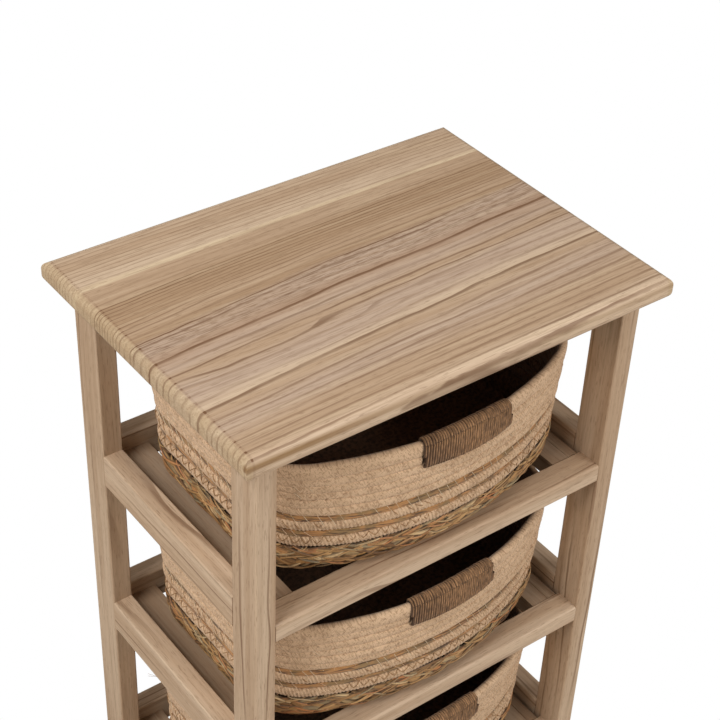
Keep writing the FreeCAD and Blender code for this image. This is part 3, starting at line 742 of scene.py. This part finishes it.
ROW_STEP = 0.0009
ROPE_SIDES = 20
FINE_STEP = 0.00055
STRAND_LAY = 0.0096
END_ROUND = 0.003
STRANDS = 3
TWISTED_ROWS = (0, 2)
BROWN_ROWS = (1, 3)
TWIST_DEPTH = 0.15
BROWN_SET = 0.0013
TWISTED_PROUD = 0.0006
WALL_ROWS = 10
ROW_OVERLAP = 1.16
ROW_SHARES = {0: 1.12, 1: 0.86, 2: 1.08, 3: 0.94}
RIM_SHARE = 1.48
HUSK_OVERLAP = 0.001
ROW_SWELL = 0.010
ROW_DRIFT = 0.00035
ROW_DIP = 0.00022
STITCH_PITCH = 0.0092
STITCH_DRIFT = 0.12
STITCH_WANDER = 0.0004
THREAD_RADIUS = 0.00028
THREAD_SIDES = 5
ZIGZAG_STEPS = 5
SLANT_STEPS = 6
SLANT_PROUD = 0.0001


def row_heights(plan):
    """Return the middle height and half height of each wall row, from the husk up to the rim."""
    start = plan.bottom + HUSK_HEIGHT - HUSK_OVERLAP
    pitch = (plan.rim - start) / (WALL_ROWS - 1 + RIM_SHARE)
    rows = []
    for number in range(WALL_ROWS):
        height = pitch * (RIM_SHARE if number == WALL_ROWS - 1 else ROW_SHARES.get(number, 1.0))
        rows.append((start + height / 2, height / 2))
        start += height
    return rows


def wavy(distances, length, seed, size):
    """Return a slow closed wave along a row."""
    angle = distances / length * 2 * math.pi
    random.seed(seed)
    total = np.zeros(len(distances))
    for turns in (2, 3, 5, 8, 13, 21, 34):
        total += math.sqrt(1 / turns) * np.sin(turns * angle + random.uniform(0, 2 * math.pi))
    return total * size


def bent(values, power):
    """Raise values to a power and keep their signs."""
    return np.sign(values) * np.abs(values) ** power


def half_wall(number):
    """Return half the thickness of a wall row."""
    if number in BROWN_ROWS:
        return WALL / 2 - BROWN_SET
    return WALL / 2 + (TWISTED_PROUD if number in TWISTED_ROWS else 0)


def rope_row(plan, number, middle, half_height, seed, gap):
    """Lay one row of rope round the plan; a gap leaves the handle's place free."""
    twisted = number in TWISTED_ROWS
    steps = int(plan.length / (FINE_STEP if twisted else ROW_STEP))
    distances = np.arange(steps) * plan.length / steps
    ends = np.ones(steps)
    if gap:
        distances = np.linspace(gap[1], gap[0] + plan.length, steps)
        to_end = np.minimum(distances - distances[0], distances[-1] - distances)
        ends = np.sqrt(1 - (1 - np.clip(to_end / END_ROUND, 0.02, 1)) ** 2)
    place, outward = plan.walk(distances, WALL / 2 - plan.lean(middle))
    angles = np.arange(ROPE_SIDES) * 2 * math.pi / ROPE_SIDES
    twist = distances / plan.length * round(plan.length / STRAND_LAY) * 2 * math.pi
    lobe = np.abs(np.cos(STRANDS / 2 * (angles[None, :] - twist[:, None])))
    depth = TWIST_DEPTH if twisted else TWIST_DEPTH * 0.1
    # The grooves between the strands, where the rope material paints shade.
    crease_shade = (1 - lobe) ** 2 * (0.75 if twisted else 0.1)
    size = (1 - depth * (1 - lobe) ** 1.3) * ends[:, None]
    swell = 1 + wavy(distances, plan.length, seed + 3, ROW_SWELL)
    out = bent(np.cos(angles), 0.55)[None, :] * size * half_wall(number) * swell[:, None]
    rise = bent(np.sin(angles), 0.9)[None, :] * size * half_height * ROW_OVERLAP * swell[:, None]
    out = out + (rise / (plan.rim - plan.bottom)) * FLARE
    out = out + wavy(distances, plan.length, seed, ROW_DRIFT)[:, None]
    flat = place[:, None, :] + outward[:, None, :] * out[..., None]
    level = middle + plan.rise(place, middle) + wavy(distances, plan.length, seed + 1, ROW_DIP)
    vertices = raised(flat.reshape(-1, 2), (level[:, None] + rise).ravel())
    # The inner side of each row gets painted shade; the rim row less of it.
    start = -0.3 if number == WALL_ROWS - 1 else 0.4
    inner_shade = np.clip(-np.cos(angles) * 3 + start, 0, 1)
    lie = spots(distances[:, None] + seed, np.sin(angles) * half_height * 1.3, seed * 0.37)
    quads = grid_faces(steps, ROPE_SIDES, not gap, True)[:, ::-1]
    return vertices, quads, {"crease_shade": crease_shade.ravel(), "inner_shade": np.tile(inner_shade, steps), "lie": lie}


def wall_reach(rows, heights):
    """Return how far the rows stand out from the middle of the wall at given heights."""
    best = np.zeros(len(heights))
    for number, (middle, half_height) in enumerate(rows):
        share = np.clip(np.abs(heights - middle) / (half_height * ROW_OVERLAP), 0, 1)
        best = np.maximum(best, half_wall(number) * (1 - share ** 2) ** 0.3)
    return best


def on_wall(plan, rows, distances, heights, sink):
    """Return points on the wall's outer face."""
    reach = wall_reach(rows, heights) - WALL / 2 - sink
    place, _ = plan.walk(distances, -reach - plan.lean(heights))
    return raised(place, heights + plan.rise(place, heights))


def zigzag(plan, rows, high, low, seed, sink):
    """Sew a thread to and fro between two heights on the wall's outer face, following its rows."""
    rng = np.random.default_rng(seed)
    count = 2 * round(plan.length / STITCH_PITCH)
    corners = np.arange(count + 1)
    level = np.where(corners % 2 == 0, high, low) + rng.normal(0, STITCH_WANDER, count + 1)
    spot = (corners + rng.random() + rng.normal(0, STITCH_DRIFT, count + 1)) * plan.length / count
    level[-1] = level[0]
    spot[-1] = spot[0] + plan.length
    share = np.arange(ZIGZAG_STEPS) / ZIGZAG_STEPS
    heights = (level[:-1, None] + np.diff(level)[:, None] * share).ravel()
    distances = (spot[:-1, None] + np.diff(spot)[:, None] * share).ravel()
    return [tube(on_wall(plan, rows, distances, heights, sink), THREAD_RADIUS, THREAD_SIDES, closed=True)]


def slants(plan, rows, high, low, seed, kept_share):
    """Lay short slanting stitches across a row, and leave some out."""
    rng = np.random.default_rng(seed)
    turns = round(plan.length / STITCH_PITCH)
    share = np.linspace(0, 1, SLANT_STEPS)
    made = []
    for number in range(turns):
        if rng.random() > kept_share:
            continue
        start = (number + rng.normal(0, STITCH_DRIFT)) * plan.length / turns
        run = rng.uniform(0.0040, 0.0065)
        top, foot = high + rng.normal(0, STITCH_WANDER), low + rng.normal(0, STITCH_WANDER)
        points = on_wall(plan, rows, start - run * share, top + (foot - top) * share, -SLANT_PROUD)
        made.append(tube(points, THREAD_RADIUS, THREAD_SIDES))
    return made


# The stitches over the seam above a row: thread, way of sewing, begin and end in half rows above the
# seam, and a zigzag's depth in metres or the share of slants that is kept

SEAM_STITCHES = {
    0: [("dark", zigzag, 0.15, -0.85, 0.0)],
    1: [("cotton", slants, 0.0, -1.6, 0.4)],
    2: [("dark", slants, 0.0, -0.9, 0.55)],
    3: [("pale", slants, 0.1, -2.3, 1.0)],
}
OTHER_STITCHES = [("cotton", zigzag, 0.7, -0.7, 0.00024), ("pale", slants, 0.4, -0.9, 0.1)]


def sew_rows(level, plan, rows):
    """Return the stitches of the wall, by the name of their thread."""
    sewn = {"pale": [], "dark": [], "cotton": []}
    for number, (middle, reach) in enumerate(rows[:-2]):
        seam = middle + reach
        for thread, sew, begin, end, value in SEAM_STITCHES.get(number, OTHER_STITCHES):
            sewn[thread] += sew(plan, rows, seam + reach * begin, seam + reach * end,
                                level * 31 + number, value)
    return sewn


def make_wall(level, plan, materials):
    """Make the coiled wall of a basket: rows of rope and the stitches that sew them."""
    rows = row_heights(plan)
    body = f"basket_{level}"
    groups = {"cotton": [], "brown": []}
    for number, (middle, half_height) in enumerate(rows):
        kind = "brown" if number in BROWN_ROWS else "cotton"
        gap = handle_gap(level, plan) if number >= WALL_ROWS - 2 else None
        groups[kind].append(rope_row(plan, number, middle, half_height, level * 11 + number * 7, gap))
    for kind, made in groups.items():
        shape, values = gather_grids(made)
        piece = make_piece(body, f"{kind}_rows", shape, materials[kind], extra=values)
        if kind == "cotton":
            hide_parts(f"basket_{level}_rope_wall")
    for name, made in sew_rows(level, plan, rows).items():
        make_piece(body, f"{name}_stitches", gather(made), materials[f"thread_{name}"])
    rng = np.random.default_rng(level)
    make_fuzz(body, plan, rows, rng, materials["thread_cotton"])
    make_loose_fibres(level, plan, rng, materials["thread_dark"])


FUZZ_COUNT = 5200
RIM_FUZZ_SHARE = 0.45
FUZZ_HALF_WIDTH = 0.00005


def make_fuzz(body, plan, rows, rng, material):
    """Scatter short fibres over the wall, almost half of them along the rim."""
    at_rim = rng.random(FUZZ_COUNT) < RIM_FUZZ_SHARE
    heights = np.where(at_rim, plan.rim - 0.0005 - 0.002 * rng.random(FUZZ_COUNT),
                       rng.uniform(plan.bottom + HUSK_HEIGHT, plan.rim - 0.004, FUZZ_COUNT))
    distances = rng.random(FUZZ_COUNT) * plan.length
    reach = wall_reach(rows, heights) - WALL / 2
    depth = np.where(at_rim, rng.uniform(0.001, 0.007, FUZZ_COUNT), 0.0002 - reach)
    place, outward = plan.walk(distances, depth - plan.lean(heights))
    root = raised(place, heights + plan.rise(place, heights))
    along = raised(np.stack([-outward[:, 1], outward[:, 0]], -1), 0.0)
    length = rng.uniform(0.0006, 0.0019, FUZZ_COUNT)
    way = raised(outward, 0.0) * rng.uniform(0.2, 1.0, (FUZZ_COUNT, 1))
    way += along * rng.normal(0, 0.7, (FUZZ_COUNT, 1))
    way[:, 2] = rng.normal(0.1, 0.5, FUZZ_COUNT) + at_rim * 1.2
    way /= np.linalg.norm(way, axis=1)[:, None]
    tip = root + way * length[:, None]
    vertices = np.stack([root - along * FUZZ_HALF_WIDTH, root + along * FUZZ_HALF_WIDTH, tip], 1)
    faces = np.arange(3 * FUZZ_COUNT).reshape(-1, 3)
    make_piece(body, "fuzz", (vertices.reshape(-1, 3), faces), material)


LOOSE_COUNT = 14
LOOSE_STEPS = 9
LOOSE_RADIUS = 0.00016
LONG_FIBRE = 0.017
LEFT_BACK = (-0.785, 0.62)


def make_loose_fibres(level, plan, rng, material):
    """Let a few fibres stand off the wall; the lowest basket has long ones at its left back."""
    around = np.linspace(0, plan.length, 400)
    left_back = around[np.argmax(plan.walk(around)[1] @ np.array(LEFT_BACK))]
    lowest = level == LEVELS
    steps = np.linspace(0, 1, LOOSE_STEPS)
    strands = []
    for number in range(LOOSE_COUNT):
        start = rng.random() * plan.length
        height = rng.uniform(plan.bottom + 0.02, plan.rim - 0.03)
        if number < 3 and lowest:
            start = left_back + 0.003 * number
            height = plan.rim - 0.040 - 0.002 * number
        long = LONG_FIBRE if number < 2 and lowest else rng.uniform(0.003, 0.006)
        sag, sway, _ = rng.normal(0, 0.4, 3)
        drop = height + long * (sag * steps ** 2 * 0.4 + 0.15 * steps)
        inset = -plan.lean(height) - long * steps * (0.5 + 0.5 * steps) + 0.001
        place, _ = plan.walk(start + long * sway * steps ** 1.5, inset)
        strands.append(tube(raised(place, drop), LOOSE_RADIUS, 4))
    make_piece(f"basket_{level}", "loose_fibres", gather(strands), material)


def handle_gap(level, plan):
    """Return the distances along the outline where the handle begins and ends."""
    low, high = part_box(f"basket_{level}_handle_core")
    front = plan.front_middle
    middle = plan.middle.x
    reach = HANDLE_MOVE - HANDLE_COVER
    return front - (high.x + reach - middle), front - (low.x + HANDLE_MOVE + HANDLE_COVER - middle)


FOOT_ROUND = 0.020
SHELL_STEPS = 240
SHELL_SHARES = (1.0, 0.75, 0.5, 0.3, 0.15, 0.0)
SHELL_INSET = 0.0035
SHELL_UNDER = 0.0025
SHELL_FLOOR = 0.008
SHELL_GAP = 0.006
FOOT_WIDTH = 0.045
HUSK_BANDS = 6
STRIPS_ROUND = 66
LAYER_LIFTS = (-0.0012, -0.0002, 0.0007)
STRIP_WIDTHS = ((0.0040, 0.0080), (0.0040, 0.0080), (0.0012, 0.0030))
STRIP_LENGTHS = (0.018, 0.036)
LEAF_ROWS = 13
LEAF_COLUMNS = 5
LEAF_TUCK = 0.0024
LEAF_CROWN = 0.0010


def bowl_surface(plan, distances, heights):
    """Return points and outward directions on the bowl, whose foot turns in below."""
    angle = np.clip((plan.bottom + FOOT_ROUND - heights) / FOOT_ROUND, 0, 1) * math.pi / 2
    height = np.where(angle > 0, plan.bottom + FOOT_ROUND * (1 - np.sin(angle)), heights)
    place, outward = plan.walk(distances, FOOT_ROUND * (1 - np.cos(angle)) - plan.lean(height))
    points = raised(place, height + plan.rise(place, height))
    return points, raised(outward * np.cos(angle)[:, None], -np.sin(angle))


def leaf(plan, start, low, length, rise, width, lift, seed):
    """Lay one flat pointed strip of husk on the bowl, its ends tucked in."""
    rng = random.Random(seed)
    share = np.linspace(0, 1, LEAF_ROWS)[:, None]
    across = np.linspace(-1, 1, LEAF_COLUMNS)[None, :]
    bow = rng.uniform(-0.15, 0.15) * length
    slope = math.atan2(rise, length)
    taper = width / 2 * np.sin(share * math.pi * 0.94 + 0.1) ** 0.45
    distances = start + share * length - math.sin(slope) * across * taper
    middle = low + share * rise + np.sin(share * math.pi) * bow * 0.5
    heights = middle + math.cos(slope) * across * taper
    tuck = lift + (np.sin(share * math.pi) ** 0.5 - 1) * LEAF_TUCK
    crown = (1 - across ** 2) * LEAF_CROWN + tuck
    position, outward = bowl_surface(plan, distances.ravel(), heights.ravel())
    lie = spots(share * length + rng.random() * 3, across * width / 2, 0.0)
    values = {"tint": np.full(crown.size, rng.random()),
              "edge_shade": np.tile(np.abs(across[0]) ** 3, LEAF_ROWS), "lie": lie}
    return position + outward * crown.ravel()[:, None], grid_faces(LEAF_ROWS, LEAF_COLUMNS), values


def make_shell(level, plan, material):
    """Make the dark shell inside the husk bowl, painted shade that shows through the gaps between the
    strips.
    """
    distances = np.arange(SHELL_STEPS) * plan.length / SHELL_STEPS
    centre = np.tile([plan.middle.x, plan.middle.y], (SHELL_STEPS, 1))
    rings = [raised(centre, plan.bottom + SHELL_FLOOR)]
    for height in (SHELL_FLOOR, HUSK_HEIGHT):
        rings.append(raised(plan.walk(distances, WALL + SHELL_GAP)[0], plan.bottom + height))
    for share in SHELL_SHARES:
        heights = np.full(SHELL_STEPS, plan.bottom + HUSK_HEIGHT * share)
        position, outward = bowl_surface(plan, distances, heights)
        rings.append(position - outward * SHELL_INSET)
    for place in (plan.walk(distances, FOOT_WIDTH)[0], centre):
        rings.append(raised(place, plan.bottom + SHELL_UNDER))
    shape = np.concatenate(rings), grid_faces(len(rings), SHELL_STEPS, False, True)
    shell = make_piece(f"basket_{level}", "bowl_shade_shell", shape, material, smooth=False)
    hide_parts(f"basket_{level}_husk_base")


def make_braid(level, plan, material):
    """Lay three layers of overlapping leaf strips round the bowl."""
    rng = random.Random(level * 17)
    strips = []
    top = HUSK_HEIGHT + HUSK_OVERLAP
    band = top / HUSK_BANDS
    for layer, (lift, widths) in enumerate(zip(LAYER_LIFTS, STRIP_WIDTHS)):
        for number in range(HUSK_BANDS):
            offset = 0.5 * ((number + layer) % 2)
            for step in range(STRIPS_ROUND):
                start = (step + rng.uniform(-0.3, 0.3) + offset) * plan.length / STRIPS_ROUND
                length = rng.uniform(*STRIP_LENGTHS)
                width = rng.uniform(*widths)
                turn = 1 if (step + number) % 2 else -1
                rise = turn * rng.uniform(0.2, 1.0) * band * 2.1
                low = plan.bottom + (number + 0.5) * band - rise / 2 + rng.uniform(-0.0012, 0.0012)
                low = min(low, plan.bottom + top - width / 2 - max(0, rise) - 0.0006)
                strips.append(leaf(plan, start, low, length, rise, width,
                                   lift + rng.uniform(-0.0004, 0.0005), rng.random()))
    shape, values = gather_grids(strips)
    make_piece(f"basket_{level}", "husk_braid", shape, material, extra=values)


TWINE_TURNS = 38
TWINE_RADIUS = 0.00122
HANDLE_MOVE = 0.0035
HANDLE_COVER = 0.0035
HANDLE_DROP = 0.0012
HANDLE_HALF_THICK = 0.0062
TWINE_STEPS = 36
TWINE_SIDES = 10
FILLING_STEPS = 24
FILLING_GAP = 0.0004


def make_handle(level, plan, materials):
    """Wind the handle: one fine twine round the two rim coils, all the way along."""
    low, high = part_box(f"basket_{level}_handle_wrap")
    body = f"basket_{level}"
    half_height = (high.z - low.z) / 2 - TWINE_RADIUS + HANDLE_DROP
    middle_z = (high.z + low.z) / 2 - HANDLE_DROP - plan.drop
    share = np.linspace(0, 1, TWINE_TURNS * TWINE_STEPS)
    angle = share * TWINE_TURNS * 2 * math.pi
    half_thick = HANDLE_HALF_THICK - TWINE_RADIUS
    core = half_height - half_thick
    jitter = np.array([noise.noise(Vector((value * 90, level * 3.1, 0.0))) for value in share])
    slow = np.array([noise.noise(Vector((value * 23, level * 5.3, 4.0))) for value in share])
    lift = np.sin(angle)
    left = low.x + HANDLE_MOVE + TWINE_RADIUS
    x = left + share * (high.x - low.x - 2 * TWINE_RADIUS)
    x = x + slow * 0.0006 * lift + jitter * 0.00025
    wall_radius = BULGE_RADIUS - WALL / 2
    centre_y = plan.middle.y + plan.front_centre - FLARE + FOOT_INSET

    def wall_line(along):
        return centre_y - np.sqrt(wall_radius ** 2 - (along - plan.middle.x) ** 2)

    full = 1 + 0.12 * np.sin(share * math.pi) - 0.10 * np.clip((share - 0.8) / 0.2, 0, 1) ** 2
    thick = (half_thick + jitter * 0.0003) * full
    round_y = np.cos(angle) * thick
    rise = lift * thick + np.clip(lift * 3, -1, 1) * core * full
    slope = (x - plan.middle.x) / wall_radius
    points = spots(x + slope * round_y, wall_line(x) - round_y, middle_z + rise)
    vertices, faces = tube(points, TWINE_RADIUS, TWINE_SIDES)
    run = np.concatenate([[0], np.cumsum(np.linalg.norm(np.diff(points, axis=0), axis=1))])
    # The sides of each turn, where it meets the next, get painted shade.
    crease_shade = (np.abs(vertices[:, 0] - np.repeat(x, TWINE_SIDES)) / TWINE_RADIUS) ** 3
    values = {"lie": spots(run[:, None], np.arange(TWINE_SIDES) / TWINE_SIDES, 0.0),
              "crease_shade": np.clip(crease_shade, 0, 1)}
    piece = make_piece(body, "jute_winding", (vertices, faces), materials["jute"], extra=values)
    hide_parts(f"basket_{level}_handle_wrap", f"basket_{level}_handle_core")
    # Dark tubes under the twine, painted shade that shows between its turns.
    filling = []
    along = np.linspace(left, high.x + HANDLE_MOVE - TWINE_RADIUS, FILLING_STEPS)
    for height in (middle_z - core * 0.9, middle_z, middle_z + core * 0.9):
        filling.append(tube(spots(along, wall_line(along), height), half_thick - FILLING_GAP, 10))
    make_piece(body, "handle_shade_filling", gather(filling), materials["inside"])


def make_baskets():
    """Make the three baskets."""
    materials = {
        "cotton": make_rope_material("cotton_rope", COTTON, rgb(206, 174, 140), COTTON_SHADE, 0.5),
        "brown": make_rope_material("brown_cord", BROWN_CORD, OLIVE_CORD, BROWN_SHADE, 0.8, LEAF_STRIPS),
        "thread_pale": make_plain_material("pale_thread", rgb(224, 206, 178), rgb(190, 166, 136)),
        "thread_dark": make_plain_material("dark_thread", rgb(166, 126, 82), rgb(126, 92, 58)),
        "thread_cotton": make_plain_material("cotton_thread", rgb(214, 182, 150), rgb(188, 154, 122)),
        "inside": make_plain_material("inside_painted_shade", INSIDE_SHADE, rgb(48, 32, 20), 300.0),
        "husk": make_husk_material(),
        "jute": make_jute_material(),
    }
    for level in range(1, LEVELS + 1):
        plan = Plan(level)
        make_wall(level, plan, materials)
        make_shell(level, plan, materials["inside"])
        make_braid(level, plan, materials["husk"])
        make_handle(level, plan, materials)


# Light and ground


def make_light(name, place, size, power, colour):
    """Hang a soft square lamp that points at the unit."""
    data = bpy.data.lights.new(name, "AREA")
    data.size = size
    data.energy = power
    data.color = colour
    lamp = add_object(name, data)
    lamp.location = place
    lamp.rotation_mode = "QUATERNION"
    lamp.rotation_quaternion = (Vector(LAMP_TARGET) - Vector(place)).to_track_quat("-Z", "Y")


def white_for_camera(nodes, shade, kind):
    """Return a shader that the camera sees as white and the rest of the light as a shade."""
    path = nodes.add("ShaderNodeLightPath").outputs
    seen = nodes.work("MAXIMUM", path["Is Camera Ray"], path["Is Transmission Ray"])
    white = nodes.add(kind, Color=(1, 1, 1, 1), Strength=1.0)
    mix = nodes.add("ShaderNodeMixShader", Fac=seen)
    nodes.put(mix.inputs[1], shade.outputs[0])
    nodes.put(mix.inputs[2], white.outputs[0])
    return mix.outputs["Shader"]


WORLD_STRENGTH = 0.36
WORLD_COLOUR = (1.0, 0.94, 0.86, 1)
FLOOR_COLOUR = (0.6, 0.56, 0.51, 1)
FLOOR_REACH = 6.0
LAMP_TARGET = (0, 0, 0.4)


def make_surroundings():
    """Make the white room, the pale floor and the lamps."""
    nodes = Nodes(bpy.data.worlds.new("room"), "World")
    glow = nodes.add("ShaderNodeBackground", Color=WORLD_COLOUR, Strength=WORLD_STRENGTH)
    nodes.cover(white_for_camera(nodes, glow, "ShaderNodeBackground"))
    bpy.context.scene.world = nodes.owner

    nodes = new_material("floor")
    matt = nodes.add("ShaderNodeBsdfDiffuse", Color=FLOOR_COLOUR)
    nodes.cover(white_for_camera(nodes, matt, "ShaderNodeEmission"))
    mesh = bpy.data.meshes.new("floor")
    corners = [(-1, -1), (1, -1), (1, 1), (-1, 1)]
    mesh.from_pydata([(x * FLOOR_REACH, y * FLOOR_REACH, 0) for x, y in corners], [], [(0, 1, 2, 3)])
    mesh.materials.append(nodes.owner)
    add_object("floor", mesh)

    make_light("key", (-1.8, -0.35, 2.35), size=1.2, power=49, colour=(1.0, 0.985, 0.965))
    make_light("front", (0.9, -2.3, 1.75), size=1.3, power=33, colour=(1.0, 0.98, 0.96))


make_camera()
dress_frame()
make_baskets()
make_surroundings()
bpy.context.scene.view_settings.view_transform = "Standard"
